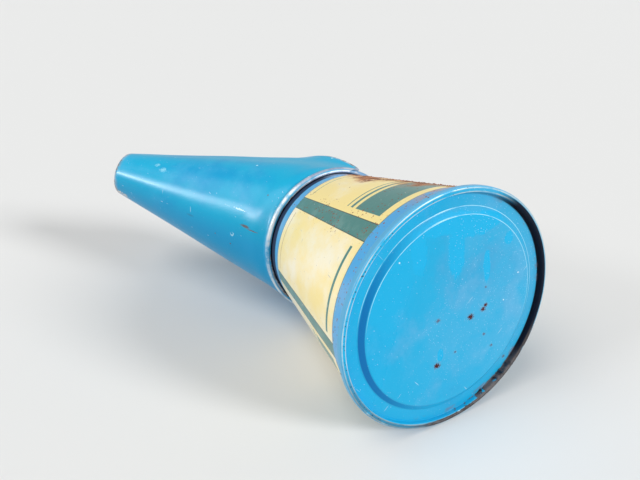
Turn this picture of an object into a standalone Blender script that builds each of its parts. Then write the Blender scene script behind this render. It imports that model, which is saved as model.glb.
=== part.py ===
"""Tinplate antifreeze pourer, one pint: a tapered can body with a double-seamed base and a wired
rim, a hooded spout whose edge is dressed round the rim, and a riveted strap handle.

Metres, +Z up the body's axis. The origin is the centre of the ring that the base stands on.
The spout points to -X and the handle to +X.
"""

import math
from typing import NamedTuple

import bmesh
import bpy
from mathutils import Matrix, Vector

# Tinplate: one sheet thickness, and the clearance between pieces that touch
SHEET = 0.0003
CLEARANCE = 0.0003
RING_STEPS = 56

# Base: a pressed end, joined to the body by a double seam
CHIME_RADIUS = 0.055
SEAM_HEIGHT = 0.0032
COUNTERSINK = 0.0023
COUNTERSINK_BEND = 0.0006
PANEL_STANDOFF = 0.0005
PANEL_MARGIN = 0.0053
PANEL_SLOPE = 0.0031
PANEL_BEND = 0.0007
CREST_STEPS = 6
HOOK_STEPS = 4

# Body: a plain cone that ends in a curl round the rim wire
RIM_HEIGHT = 0.1013
RIM_RADIUS = 0.0405
WIRE_RADIUS = 0.0010
CURL_END_ANGLE = math.radians(-114)
CURL_STEPS = 10
SIDE_SEAM_WIDTH = 0.0050
SIDE_SEAM_DEPTH = 0.0007
SIDE_SEAM_INSET = 0.0030
SIDE_SEAM_BITE = 0.00015

# Spout: a hood whose top edge is an arch and whose mouth is a tilted circle
MOUTH_REACH = 0.0961
MOUTH_RISE = 0.1064
MOUTH_RADIUS = 0.0135
MOUTH_TILT = math.radians(45)
ARCH_FOOT = 0.0063
ARCH_LEAN = math.radians(15)
SHOULDER_RISE = 0.0235
SHOULDER_SPREAD = 0.0027
FOOT_ROUNDING = 0.0070
HEM_WIDTH = 0.0030
HEM_EXTRA = 0.0006
HEM_STEP = 0.0003
HOOD_SEAM_WIDTH = 0.0060
HOOD_SEAM_RAISE = 0.00035
WRAP_END_ANGLE = math.radians(-95)
EDGE_CURL_ANGLE = math.radians(20)
WRAP_STEPS = 4
SIDE_LIFT = math.radians(4)
FRONT_REACH = 0.0060
SIDE_REACH = 0.0250
MOUTH_FOOT_ANGLE = math.radians(82)
MOUTH_SHOULDER_ANGLE = math.radians(96)
WRAP_FADE_SHARES = (0.80, 0.55, 0.35)
FOOT_SHARES = (0.35, 0.70, 1.0)
LEG_SHARES = (0.30, 0.65, 1.0)
LENGTH_SHARES = (0.32, 0.58, 0.79, 0.93)
ARCH_STEPS = 8
SEAM_GAP_SHARE = 0.5
EVEN_ROUNDS = 8
EVEN_PAST_MOUTH = 0.0050
EVEN_MOUTH_FADE = 0.0200
EVEN_PAST_EDGE = 0.0030
EVEN_EDGE_FADE = 0.0150

# Solder: a fillet of solder between the rim and the hood
SOLDER_RADIUS = 0.0007

# Handle: a hemmed strap whose two tabs lie on the cone
STRAP_WIDTH = 0.0200
STRAP_SHEET = 0.0006
STRAP_HEM_WIDTH = 0.0025
STRAP_HEM_DEPTH = 0.0007
TAB_LENGTH = 0.0110
TOP_TAB_DROP = 0.0150
LOW_TAB_RISE = 0.0350
HANDLE_REACH = 0.0330
HANDLE_WIDEST_DROP = 0.0320
BEND_TOP = 0.0080
SWEEP_TOP = 0.0260
SWEEP_LOW = 0.0220
BEND_LOW = 0.0120
SWEEP_STEPS = 8

# Rivets: two through each tab
RIVET_SHANK = 0.0012
RIVET_HEAD = 0.0026
RIVET_DOME = 0.0010
RIVET_TAIL = 0.0020
RIVET_TAIL_THICK = 0.0006
RIVET_SPREAD = 0.0060
RIVET_SEAT = 0.0004
RIVET_STEPS = 12
DOME_STEPS = 3

CUT_OVERRUN = 0.0040
MERGE_DISTANCE = 0.00001
SHARP_ANGLE = math.radians(35)

PITCH = SHEET + CLEARANCE
SEAM_LAYERS = [CHIME_RADIUS - SHEET / 2 - k * PITCH for k in range(5)]
SEAM_CENTRE_Z = 2 * PITCH + SHEET / 2
SEAM_TOP_Z = SEAM_HEIGHT - PITCH - SHEET / 2
CURL_RADIUS = WIRE_RADIUS + CLEARANCE + SHEET / 2
WRAP_RADIUS = CURL_RADIUS + SHEET / 2 + CLEARANCE + SHEET

BLUE_PAINT = {"colour": (0.030, 0.330, 0.620, 1.0), "roughness": 0.22, "metallic": 0}
CREAM_PAINT = {"colour": (0.880, 0.780, 0.380, 1.0), "roughness": 0.35, "metallic": 0}
BARE_TIN = {"colour": (0.560, 0.550, 0.520, 1.0), "roughness": 0.40, "metallic": 1}
DULL_SOLDER = {"colour": (0.400, 0.400, 0.420, 1.0), "roughness": 0.50, "metallic": 1}


def arc(centre, radius, start, end, steps):
    """Points (r, z) along an arc, both ends included."""
    angles = [start + (end - start) * k / steps for k in range(steps + 1)]
    return [(centre[0] + radius * math.cos(a), centre[1] + radius * math.sin(a)) for a in angles]


def chamfered(before, corner, after, size):
    """Two points that take a corner's place, each at most the given size away from it."""
    points = []
    for end in (before, after):
        away = Vector(end) - Vector(corner)
        points.append(tuple(Vector(corner) + away.normalized() * min(size, away.length / 3)))
    return points


def cone_slope():
    """The wall's half angle: it runs straight from the seam's second layer to the rim's curl."""
    run = SEAM_LAYERS[3] - RIM_RADIUS
    rise = RIM_HEIGHT - SEAM_TOP_Z
    return math.asin(CURL_RADIUS / math.hypot(run, rise)) + math.atan2(run, rise)


def curl_start():
    """Where the straight wall meets the curl, in its middle layer."""
    angle = math.pi + cone_slope()
    return RIM_RADIUS + CURL_RADIUS * math.cos(angle), RIM_HEIGHT + CURL_RADIUS * math.sin(angle)


def wall_radius(z):
    """Radius of the wall's middle layer at a height."""
    top_r, top_z = curl_start()
    share = (z - SEAM_TOP_Z) / (top_z - SEAM_TOP_Z)
    return SEAM_LAYERS[3] + (top_r - SEAM_LAYERS[3]) * share


def wall_outside(z):
    """Radius of the wall's outer face at a height."""
    return wall_radius(z) + SHEET / 2 / math.cos(cone_slope())


def new_collection(name):
    collection = bpy.data.collections.new(name)
    bpy.context.scene.collection.children.link(collection)
    return collection


def new_material(name, look):
    material = bpy.data.materials.new(name)
    material.use_nodes = True
    shader = material.node_tree.nodes["Principled BSDF"]
    shader.inputs["Base Color"].default_value = look["colour"]
    shader.inputs["Roughness"].default_value = look["roughness"]
    shader.inputs["Metallic"].default_value = look["metallic"]
    material.diffuse_color = look["colour"]
    return material


def new_object(name, data, collection, material=None):
    obj = bpy.data.objects.new(name, data)
    collection.objects.link(obj)
    if material:
        data.materials.append(material)
    return obj


def mesh_from(name, points, faces):
    mesh = bpy.data.meshes.new(name)
    mesh.from_pydata([tuple(p) for p in points], [], faces)
    mesh.validate()
    mesh.shade_smooth()
    mesh.set_sharp_from_angle(angle=SHARP_ANGLE)
    return mesh


def turned(name, profile, steps, collection, material):
    """A profile in the XZ plane, turned round Z by a Screw modifier."""
    mesh = bpy.data.meshes.new(name)
    edges = [(k, k + 1) for k in range(len(profile) - 1)]
    mesh.from_pydata([(r, 0, z) for r, z in profile], edges, [])
    obj = new_object(name, mesh, collection, material)
    screw = obj.modifiers.new("Turn", "SCREW")
    screw.axis = "Z"
    screw.angle = math.tau
    screw.steps = screw.render_steps = steps
    screw.use_merge_vertices = True
    screw.merge_threshold = MERGE_DISTANCE
    screw.use_smooth_shade = True
    return obj


def thicken(obj, thickness):
    """Gives an open sheet its thickness, half to each side."""
    solid = obj.modifiers.new("Sheet", "SOLIDIFY")
    solid.thickness = thickness
    solid.offset = 0
    solid.use_even_offset = True
    solid.use_quality_normals = True
    solid.use_rim = True


def boolean(obj, operation, other):
    cut = obj.modifiers.new(operation.title() + " " + other.name, "BOOLEAN")
    cut.operation = operation
    cut.solver = "EXACT"
    cut.object = other


def as_helper(obj):
    obj.hide_render = True
    obj.display_type = "WIRE"
    return obj


def closed_tube(rings):
    """Points and faces of a tube through rings of equal length, closed by a face at each end."""
    count = len(rings[0])
    points = [p for ring in rings for p in ring]
    faces = []
    for row in range(len(rings) - 1):
        for k in range(count):
            a = row * count + k
            b = row * count + (k + 1) % count
            faces.append((a, b, b + count, a + count))
    faces.append(tuple(reversed(range(count))))
    faces.append(tuple(range(len(points) - count, len(points))))
    return points, faces


def base_profile():
    """The pressed end, from the centre of its panel out, round the crest and into its hook."""
    panel_z = PANEL_STANDOFF + SHEET / 2
    floor_z = COUNTERSINK + SHEET / 2
    wall_r = SEAM_LAYERS[4]
    step_out = wall_r - COUNTERSINK_BEND - PANEL_MARGIN
    step_in = step_out - PANEL_SLOPE
    bend = (wall_r - COUNTERSINK_BEND, floor_z - COUNTERSINK_BEND)
    centre, crest = (SEAM_LAYERS[2], SEAM_CENTRE_Z), 2 * PITCH
    profile = [(0, panel_z)]
    profile += chamfered((0, panel_z), (step_in, panel_z), (step_out, floor_z), PANEL_BEND)
    profile += chamfered((step_in, panel_z), (step_out, floor_z), (bend[0], floor_z), PANEL_BEND)
    profile += arc(bend, COUNTERSINK_BEND, math.pi / 2, 0, 2)
    profile += arc(centre, crest, math.pi, math.tau, CREST_STEPS)
    profile += arc((SEAM_LAYERS[1], SEAM_TOP_Z), PITCH, 0, math.pi, HOOK_STEPS)
    profile.append((SEAM_LAYERS[2], SEAM_CENTRE_Z))
    return profile


def make_base(collection, material):
    obj = turned("base_plate", base_profile(), RING_STEPS, collection, material)
    thicken(obj, SHEET)
    return obj


def body_profile():
    """The body's sheet: its hook in the seam, the plain wall, and the curl at the rim."""
    profile = [(SEAM_LAYERS[1], SEAM_TOP_Z)]
    profile += arc((SEAM_LAYERS[2], SEAM_CENTRE_Z), PITCH, 0, -math.pi, HOOK_STEPS)
    profile.append((SEAM_LAYERS[3], SEAM_TOP_Z))
    start = math.pi + cone_slope()
    profile += arc((RIM_RADIUS, RIM_HEIGHT), CURL_RADIUS, start, CURL_END_ANGLE, CURL_STEPS)
    return profile


def side_seam(helpers):
    """The locked side seam, a flat strip on the inside of the wall below the handle."""
    low_z = SEAM_HEIGHT + SIDE_SEAM_INSET
    top_z = RIM_HEIGHT - WRAP_RADIUS - SIDE_SEAM_INSET
    depth = SIDE_SEAM_DEPTH + SIDE_SEAM_BITE
    inset = SHEET / 2 - SIDE_SEAM_BITE + depth / 2
    middle_z = (low_z + top_z) / 2
    slope = cone_slope()
    mesh = bpy.data.meshes.new("side_seam")
    bm = bmesh.new()
    bmesh.ops.create_cube(bm, size=1)
    size = Vector((depth, SIDE_SEAM_WIDTH, (top_z - low_z) / math.cos(slope)))
    bmesh.ops.scale(bm, vec=size, verts=bm.verts)
    bm.to_mesh(mesh)
    bm.free()
    obj = new_object("side_seam", mesh, helpers)
    middle = Vector((wall_radius(middle_z), 0, middle_z))
    obj.location = middle - inset * Vector((math.cos(slope), 0, math.sin(slope)))
    obj.rotation_euler = (0, -slope, 0)
    return as_helper(obj)


def make_body(collection, helpers, material, cutters):
    obj = turned("body_shell", body_profile(), RING_STEPS, collection, material)
    thicken(obj, SHEET)
    boolean(obj, "UNION", side_seam(helpers))
    for cutter in cutters:
        boolean(obj, "DIFFERENCE", cutter)
    return obj


def make_rim_wire(collection, material):
    bpy.ops.mesh.primitive_torus_add(
        major_radius=RIM_RADIUS, minor_radius=WIRE_RADIUS,
        major_segments=RING_STEPS, minor_segments=8, location=(0, 0, RIM_HEIGHT),
    )
    obj = bpy.context.object
    obj.name = obj.data.name = "rim_wire"
    obj.data.shade_smooth()
    obj.data.materials.append(material)
    for owner in list(obj.users_collection):
        owner.objects.unlink(obj)
    collection.objects.link(obj)
    return obj


def mouth_centre():
    return Vector((-MOUTH_REACH, 0, RIM_HEIGHT + MOUTH_RISE))


def mouth_point(angle):
    """A point of the mouth's circle, its angle counted from the lowest point towards +Y."""
    up = Vector((math.sin(MOUTH_TILT), 0, math.cos(MOUTH_TILT)))
    turn = Vector((0, 1, 0)) * math.sin(angle) - up * math.cos(angle)
    return mouth_centre() + MOUTH_RADIUS * turn


def front_lift():
    """Elevation of the hood's normal at the front, where its straight underside meets the wrap."""
    lowest = mouth_point(0)
    run, rise = -lowest.x - RIM_RADIUS, lowest.z - RIM_HEIGHT
    return math.atan2(rise, run) - math.acos(WRAP_RADIUS / math.hypot(run, rise))


def rim_contact(turn):
    """The wrap's centre, tangent and normal at an angle from the front towards +Y."""
    outward = Vector((-math.cos(turn), math.sin(turn), 0))
    tangent = Vector((math.sin(turn), math.cos(turn), 0))
    side = math.sin(turn)
    lift = front_lift() * (1 - side) + SIDE_LIFT * side
    normal = outward * math.cos(lift) + Vector((0, 0, math.sin(lift)))
    centre = RIM_RADIUS * outward + Vector((0, 0, RIM_HEIGHT))
    return centre, tangent, normal


def arch_point(across, rise, slope):
    """A point and tangent of the leaning arch, from its place and slope in the arch's plane."""
    lean = Vector((-math.sin(ARCH_LEAN), 0, math.cos(ARCH_LEAN)))
    point = Vector((ARCH_FOOT, across, foot_height())) + rise * lean
    tangent = Vector((0, slope[0], 0)) + slope[1] * lean
    return point, tangent.normalized()


def foot_height():
    """Height at which the hood's edge leaves the rim."""
    return RIM_HEIGHT + WRAP_RADIUS * math.sin(SIDE_LIFT)


def arch_width():
    """Half the arch's width at its shoulders."""
    reach = RIM_RADIUS + WRAP_RADIUS * math.cos(SIDE_LIFT)
    return math.sqrt(reach ** 2 - ARCH_FOOT ** 2) + SHOULDER_SPREAD


def leg_point(share):
    """The arch's leg, from its foot at 0 to the shoulder at 1."""
    across = arch_width() - SHOULDER_SPREAD * (1 - share) ** 2
    slope = (2 * SHOULDER_SPREAD * (1 - share), SHOULDER_RISE)
    return arch_point(across, SHOULDER_RISE * share, slope)


def crown_point(angle):
    """The arch's round crown, from the shoulder at 0 to the top at a right angle."""
    radius = arch_width()
    rise = SHOULDER_RISE + radius * math.sin(angle)
    return arch_point(radius * math.cos(angle), rise, (-math.sin(angle), math.cos(angle)))


def foot_point(share):
    """The rounded foot, a smooth bend from the rim's circle into the leg."""
    centre, tangent, normal = rim_contact(math.pi / 2)
    start = centre + WRAP_RADIUS * normal
    corner = leg_point(0)[0]
    end = leg_point(FOOT_ROUNDING / SHOULDER_RISE)[0]
    point = start * (1 - share) ** 2 + corner * 2 * share * (1 - share) + end * share ** 2
    tangent = (corner - start) * (1 - share) + (end - corner) * share
    return point, tangent.normalized()


class Column(NamedTuple):
    """One line of the hood's outer face, from its mouth down to its lower edge."""
    edge: Vector
    tangent: Vector
    launch: Vector
    reach: float
    angle: float
    curl: float
    hem: bool
    seam: bool


def rim_columns():
    """The columns that end in a wrap round the rim, from the front to the foot of the arch."""
    columns = []
    last = RING_STEPS // 4
    for k in range(last + 1):
        turn = math.tau * k / RING_STEPS
        centre, tangent, normal = rim_contact(turn)
        edge = centre + WRAP_RADIUS * normal
        angle = MOUTH_FOOT_ANGLE * k / last
        aim = mouth_point(angle) - edge
        launch = (aim - normal * aim.dot(normal)).normalized()
        curl = math.asin(normal.z) - WRAP_END_ANGLE
        faded = k - (last + 1 - len(WRAP_FADE_SHARES))
        if faded >= 0:
            curl *= WRAP_FADE_SHARES[faded]
        reach = FRONT_REACH + (SIDE_REACH - FRONT_REACH) * k / last
        columns.append(Column(edge, tangent, launch, reach, angle, curl, False, False))
    return columns


def arch_columns(first_launch):
    """The columns that end in the arch's hemmed edge, from its foot to its top."""
    columns = []
    leg_start = FOOT_ROUNDING / SHOULDER_RISE
    foot = [(foot_point(share), leg_start * share) for share in FOOT_SHARES]
    leg = [leg_start + (1 - leg_start) * share for share in LEG_SHARES]
    for k, ((edge, tangent), share) in enumerate(foot + [(leg_point(s), s) for s in leg]):
        angle = MOUTH_FOOT_ANGLE + (MOUTH_SHOULDER_ANGLE - MOUTH_FOOT_ANGLE) * share
        aim = (mouth_point(angle) - edge).normalized()
        launch = (first_launch * (1 - share) + aim * share).normalized()
        columns.append(Column(edge, tangent, launch, SIDE_REACH, angle, EDGE_CURL_ANGLE, k > 0, False))
    half_seam = HOOD_SEAM_WIDTH / 2
    crown_end = math.pi / 2 - math.asin(half_seam / arch_width())
    mouth_end = math.pi - math.asin(half_seam / MOUTH_RADIUS)
    stops = [(k / (ARCH_STEPS + SEAM_GAP_SHARE), False) for k in range(1, ARCH_STEPS + 1)]
    stops += [(1 - HOOD_SEAM_RAISE / HOOD_SEAM_WIDTH, False), (1, True)]
    for share, seam in stops:
        edge, tangent = crown_point(crown_end * share)
        angle = MOUTH_SHOULDER_ANGLE + (mouth_end - MOUTH_SHOULDER_ANGLE) * share
        launch = (mouth_point(angle) - edge).normalized()
        columns.append(Column(edge, tangent, launch, SIDE_REACH, angle, EDGE_CURL_ANGLE, True, seam))
    edge, tangent = crown_point(math.pi / 2)
    launch = (mouth_point(math.pi) - edge).normalized()
    columns.append(Column(edge, tangent, launch, SIDE_REACH, math.pi, EDGE_CURL_ANGLE, True, True))
    return columns


def column_path(column):
    """Points down a column of the outer face, each with the sheet's thickness there."""
    top = mouth_point(column.angle)
    length = (column.edge - top).length
    reach = min(column.reach, length / 3)
    hem, step = HEM_WIDTH / length, (HEM_WIDTH + HEM_STEP) / length
    low_hem, low_step = HEM_WIDTH / 3 / reach, (HEM_WIDTH + HEM_STEP) / 3 / reach
    plain = SHEET + HOOD_SEAM_RAISE if column.seam else SHEET
    hemmed = plain + HEM_EXTRA
    low = hemmed if column.hem else plain
    stations = [(0, hemmed), (hem, hemmed), (step, plain)]
    middle = 1 - low_step - step
    stations += [(step + middle * share, plain) for share in LENGTH_SHARES]
    stations += [(1 - low_step, plain), (1 - low_hem, low), (1, low)]
    aim = (column.edge - top) / 3
    normal = column.launch.cross(column.tangent).normalized()
    path = []
    for share, thickness in stations:
        point = bezier(top, top + aim, column.edge + column.launch * reach, column.edge, share)[0]
        path.append((point, thickness))
    down = normal.cross(column.tangent)
    centre = column.edge - WRAP_RADIUS * normal
    for k in range(1, WRAP_STEPS + 1):
        turn = column.curl * k / WRAP_STEPS
        away = normal * math.cos(turn) + down * math.sin(turn)
        path.append((centre + WRAP_RADIUS * away, low))
    if column.seam:
        path = [(point + normal * HOOD_SEAM_RAISE, thickness) for point, thickness in path]
    return path


def evening_share(line, row):
    """How far a row gives way: not at all near the mouth and the lower edge, fully between."""
    from_mouth = sum((line[k + 1] - line[k]).length for k in range(row))
    from_edge = sum((line[k + 1] - line[k]).length for k in range(row, len(line) - 1))
    mouth_share = min(1, max(0, (from_mouth - EVEN_PAST_MOUTH) / EVEN_MOUTH_FADE))
    edge_share = min(1, max(0, (from_edge - EVEN_PAST_EDGE) / EVEN_EDGE_FADE))
    return mouth_share * edge_share


def even_out(paths):
    """Moves the face's middle rows towards their neighbours, so that no crease is left in it."""
    lines = [[point for point, thickness in path[:-WRAP_STEPS]] for path in paths]
    shares = [[evening_share(line, row) for row in range(len(line))] for line in lines]
    for _ in range(EVEN_ROUNDS):
        across = [Vector((p.x, -p.y, p.z)) for p in lines[1]]
        before, after = [across] + lines[:-1], lines[1:]
        lines = [
            [p + (a + b - 2 * p) / 4 * s for p, a, b, s in zip(*near)]
            for near in zip(lines, before, after, shares)
        ] + lines[-1:]
    return [
        [(point, path[row][1]) for row, point in enumerate(line)] + path[-WRAP_STEPS:]
        for line, path in zip(lines, paths)
    ]


def make_hood(collection, material):
    """Half of the hood's outer face as a loft, mirrored, then thickened inwards."""
    columns = rim_columns()
    first_launch = columns[-1].launch
    columns += arch_columns(first_launch)
    seamed = [column_path(column) for column in columns if column.seam]
    paths = even_out([column_path(column) for column in columns if not column.seam]) + seamed
    rows = len(paths[0])
    points = [point for path in paths for point, thickness in path]
    for point in points[:rows] + points[-rows:]:
        point.y = 0
    faces = []
    for k in range(len(paths) - 1):
        for row in range(rows - 1):
            a = k * rows + row
            faces.append((a, a + 1, a + 1 + rows, a + rows))
    obj = new_object("spout_hood", mesh_from("spout_hood", points, faces), collection, material)
    thickest = SHEET + HEM_EXTRA + HOOD_SEAM_RAISE
    group = obj.vertex_groups.new(name="thickness")
    for index, (point, thickness) in enumerate(pair for path in paths for pair in path):
        group.add([index], thickness / thickest, "REPLACE")
    mirror = obj.modifiers.new("Other half", "MIRROR")
    mirror.use_axis = (False, True, False)
    mirror.merge_threshold = MERGE_DISTANCE
    solid = obj.modifiers.new("Sheet", "SOLIDIFY")
    solid.thickness = thickest
    solid.offset = -1
    solid.vertex_group = group.name
    solid.use_even_offset = True
    return obj


def make_solder(collection, material):
    """The fillet of solder, a wire that rolls between the curl and the hood's inner face."""
    curl_side = CURL_RADIUS + SHEET / 2 + CLEARANCE + SOLDER_RADIUS
    hood_side = WRAP_RADIUS - SHEET - CLEARANCE - SOLDER_RADIUS
    swing = math.acos(hood_side / curl_side)
    half = []
    for k in range(RING_STEPS // 4):
        centre, tangent, normal = rim_contact(math.tau * k / RING_STEPS)
        up = tangent.cross(normal)
        half.append(centre + curl_side * (normal * math.cos(swing) + up * math.sin(swing)))
    other = [Vector((p.x, -p.y, p.z)) for p in half[:0:-1]]
    curve = bpy.data.curves.new("joint_solder", "CURVE")
    curve.dimensions = "3D"
    spline = curve.splines.new("POLY")
    spline.points.add(len(other) + len(half) - 1)
    for target, point in zip(spline.points, other + half):
        target.co = (*point, 1)
    curve.bevel_depth = SOLDER_RADIUS
    curve.bevel_resolution = 2
    curve.use_fill_caps = True
    return new_object("joint_solder", curve, collection, material)


def bezier(a, b, c, d, t):
    """A point of a cubic curve and its direction."""
    s = 1 - t
    point = a * s ** 3 + b * 3 * s * s * t + c * 3 * s * t * t + d * t ** 3
    slope = (b - a) * s * s + (c - b) * 2 * s * t + (d - c) * t * t
    return point, slope.normalized()


def strap_path():
    """Places along the strap's back in the XZ plane, from the top tab's end to the low one's.

    The back is the face away from the hand: it lies on the wall at the top tab, and the face on
    the hand's side does at the low one. Each place holds its point, its direction, how far it
    follows the cone and its hem share.
    """
    slope = cone_slope()
    up = Vector((-math.sin(slope), 0, math.cos(slope)))

    def seat(z):
        return Vector((wall_outside(z) + CLEARANCE, 0, z))

    top = seat(RIM_HEIGHT - TOP_TAB_DROP)
    low = seat(LOW_TAB_RISE) + Vector((STRAP_SHEET / math.cos(slope), 0, 0))
    widest_z = RIM_HEIGHT - HANDLE_WIDEST_DROP
    widest = seat(widest_z) + Vector((HANDLE_REACH, 0, 0))
    rise = Vector((0, 0, 1))
    places = [(top - up * TAB_LENGTH, up, 1.0, 0.0)]
    for k in range(SWEEP_STEPS):
        point, direction = bezier(
            top, top + up * BEND_TOP, widest + rise * SWEEP_TOP, widest, k / SWEEP_STEPS
        )
        places.append((point, direction, max(0, 1 - 3 * k / SWEEP_STEPS), min(1, k / 3)))
    for k in range(SWEEP_STEPS + 1):
        point, direction = bezier(
            widest, widest - rise * SWEEP_LOW, low + up * BEND_LOW, low, k / SWEEP_STEPS
        )
        left = SWEEP_STEPS - k
        places.append((point, direction, max(0, 1 - 3 * left / SWEEP_STEPS), min(1, left / 3)))
    places.append((low - up * TAB_LENGTH, -up, 1.0, 0.0))
    return places


def strap_ring(place):
    """The strap's closed section: the hand's side with its two hems, then the plain back."""
    point, direction, follow, hem_share = place
    to_hand = Vector((0, 1, 0)).cross(direction)
    edge = STRAP_WIDTH / 2
    hem = edge - STRAP_HEM_WIDTH
    flat = hem - STRAP_HEM_DEPTH
    across = [-edge, -hem, -flat, -flat / 2, 0, flat / 2, flat, hem, edge]
    depths = [1, 1, 0, 0, 0, 0, 0, 1, 1]
    front, back = [], []
    for y, depth in zip(across, depths):
        drop = follow * (point.x - math.sqrt(point.x ** 2 - y ** 2))
        base = point + Vector((-drop, y, 0))
        front.append(base + to_hand * (STRAP_SHEET + STRAP_HEM_DEPTH * depth * hem_share))
        back.append(base)
    return front + back[::-1]


def make_handle(collection, material, cutters):
    points, faces = closed_tube([strap_ring(place) for place in strap_path()])
    obj = new_object("handle_strap", mesh_from("handle_strap", points, faces), collection, material)
    for cutter in cutters:
        boolean(obj, "DIFFERENCE", cutter)
    return obj


def rivet_places():
    """Each rivet's name and its matrix: local Z is the wall's outward normal, on its middle layer."""
    slope = cone_slope()
    middle = TAB_LENGTH / 2 * math.cos(slope)
    heights = (("top", RIM_HEIGHT - TOP_TAB_DROP - middle), ("low", LOW_TAB_RISE - middle))
    places = []
    for level, z in heights:
        for side, sign in (("left", 1), ("right", -1)):
            radius = wall_radius(z)
            turn = math.asin(sign * RIVET_SPREAD / radius)
            spin = Matrix.Rotation(turn, 4, "Z")
            lay = Matrix.Rotation(math.pi / 2 - slope, 4, "Y")
            place = spin @ Matrix.Translation((radius, 0, z)) @ lay
            places.append((f"rivet_{level}_{side}", place))
    return places


def rivet_cutters(helpers):
    cutters = []
    for name, place in rivet_places():
        mesh = bpy.data.meshes.new(name + "_hole")
        bm = bmesh.new()
        hole = RIVET_SHANK + CLEARANCE
        bmesh.ops.create_cone(
            bm, cap_ends=True, segments=RIVET_STEPS, radius1=hole, radius2=hole, depth=CUT_OVERRUN
        )
        bm.to_mesh(mesh)
        bm.free()
        cutter = new_object(name + "_hole", mesh, helpers)
        cutter.matrix_world = place
        cutters.append(as_helper(cutter))
    return cutters


def rivet_profile():
    """Domed head outside the strap, shank, and the flattened tail inside the wall."""
    head_z = SHEET / 2 + CLEARANCE + STRAP_SHEET + RIVET_SEAT
    tail_z = -SHEET / 2 - RIVET_SEAT
    half = math.pi / 2
    dome = [half - half * k / DOME_STEPS for k in range(DOME_STEPS + 1)]
    profile = [(RIVET_HEAD * math.cos(a), head_z + RIVET_DOME * math.sin(a)) for a in dome]
    profile[0] = (0, head_z + RIVET_DOME)
    profile += [(RIVET_SHANK, head_z), (RIVET_SHANK, tail_z), (RIVET_TAIL, tail_z)]
    profile += [(RIVET_TAIL - RIVET_TAIL_THICK / 3, tail_z - RIVET_TAIL_THICK)]
    profile.append((0, tail_z - RIVET_TAIL_THICK))
    return profile


def make_rivets(collection, material):
    for name, place in rivet_places():
        obj = turned(name, rivet_profile(), RIVET_STEPS, collection, material)
        obj.matrix_world = place


def main():
    for obj in list(bpy.data.objects):
        bpy.data.objects.remove(obj)
    collection = new_collection("antifreeze_pourer")
    helpers = new_collection("cutters")
    blue = new_material("blue_enamel", BLUE_PAINT)
    printed = new_material("printed_tin", CREAM_PAINT)
    wire = new_material("bare_tin", BARE_TIN)
    solder = new_material("solder", DULL_SOLDER)
    cutters = rivet_cutters(helpers)
    make_base(collection, blue)
    make_body(collection, helpers, printed, cutters)
    make_rim_wire(collection, wire)
    make_hood(collection, blue)
    make_solder(collection, solder)
    make_handle(collection, blue, cutters)
    make_rivets(collection, wire)


main()
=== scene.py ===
"""An old tinplate jug for pouring antifreeze, lying on its side as photographed: a printed cone
with a seamed base, and a blue hooded spout dressed round its wired rim. Metres, +Z up the body."""

import random
from functools import partial, reduce
from math import acos, asin, atan2, cos, hypot, pi, radians, sin, sqrt, tau

import bmesh
import bpy
import numpy
from mathutils import Matrix, Vector, noise


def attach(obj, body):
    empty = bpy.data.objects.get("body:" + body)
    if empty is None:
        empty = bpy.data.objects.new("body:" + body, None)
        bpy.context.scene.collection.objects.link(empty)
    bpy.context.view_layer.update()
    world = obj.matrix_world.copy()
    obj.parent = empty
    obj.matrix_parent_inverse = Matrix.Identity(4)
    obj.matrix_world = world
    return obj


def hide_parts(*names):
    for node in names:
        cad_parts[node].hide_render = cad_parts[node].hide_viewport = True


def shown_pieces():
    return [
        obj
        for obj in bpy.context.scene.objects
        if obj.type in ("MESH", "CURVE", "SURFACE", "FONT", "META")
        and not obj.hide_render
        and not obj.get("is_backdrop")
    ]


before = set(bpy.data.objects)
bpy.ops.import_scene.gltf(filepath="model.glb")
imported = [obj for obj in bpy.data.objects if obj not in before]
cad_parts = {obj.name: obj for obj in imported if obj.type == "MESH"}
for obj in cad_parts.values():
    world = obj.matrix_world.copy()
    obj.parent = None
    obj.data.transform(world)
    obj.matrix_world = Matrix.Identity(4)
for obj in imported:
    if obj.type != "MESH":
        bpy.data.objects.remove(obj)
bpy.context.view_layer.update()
scene = bpy.context.scene


# ---- Camera and studio lights ----
# The jug lies on its +Y flank, and the camera looks up at its base from the front left, a little
# above the floor. Soft lights hang over it and fill in from the sides; the glint is narrow, draws
# the highlight along the spout, and shows in glossy surfaces only.
look_right = Vector((0.84315, -0.25153, -0.47521))
look_down = Vector((0.1117, 0.94649, -0.3028))
look_along = Vector((0.52594, 0.20223, 0.82613))
lens = bpy.data.cameras.new("camera")
lens.sensor_width = 36
lens.lens = 30.375
lens.clip_start = 0.01
lens.clip_end = 20
camera = bpy.data.objects.new("camera", lens)
camera.matrix_world = Matrix.Translation((-0.16978, -0.06119, -0.15084)) @ Matrix(
    (look_right, -look_down, -look_along)
).transposed().to_4x4()
scene.collection.objects.link(camera)
scene.camera = camera
scene.view_settings.view_transform = "Standard"

floor_up = Vector((-0.336, -0.935, -0.099)).normalized()
for name, toward, spread, power in (
    ("key", floor_up * 0.3 - look_right * 0.89 - look_along * 0.42, 11, 0.71),
    ("glint", floor_up * 0.205 - look_right * 0.92 - look_along * 0.27, 5, 0.86),
    ("overhead", floor_up * 0.8 - look_right * 0.5 - look_along * 0.3, 45, 1.5),
    ("right", floor_up * 0.22 + look_right * 0.8 - look_along * 0.52, 16, 2.27),
    ("rim", floor_up * 0.7 + look_right * 0.6 + look_along * 0.6, 50, 0.2),
    ("back fill", -floor_up * 0.3 + Vector((0.9, 0.3, 0.3)), 70, 0.9),
):
    lamp = bpy.data.lights.new(name, "SUN")
    lamp.angle = radians(spread)
    lamp.energy = power
    light = bpy.data.objects.new(name, lamp)
    light.rotation_mode = "QUATERNION"
    light.rotation_quaternion = toward.to_track_quat("Z", "Y")
    light.visible_diffuse = name != "glint"
    scene.collection.objects.link(light)


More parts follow.
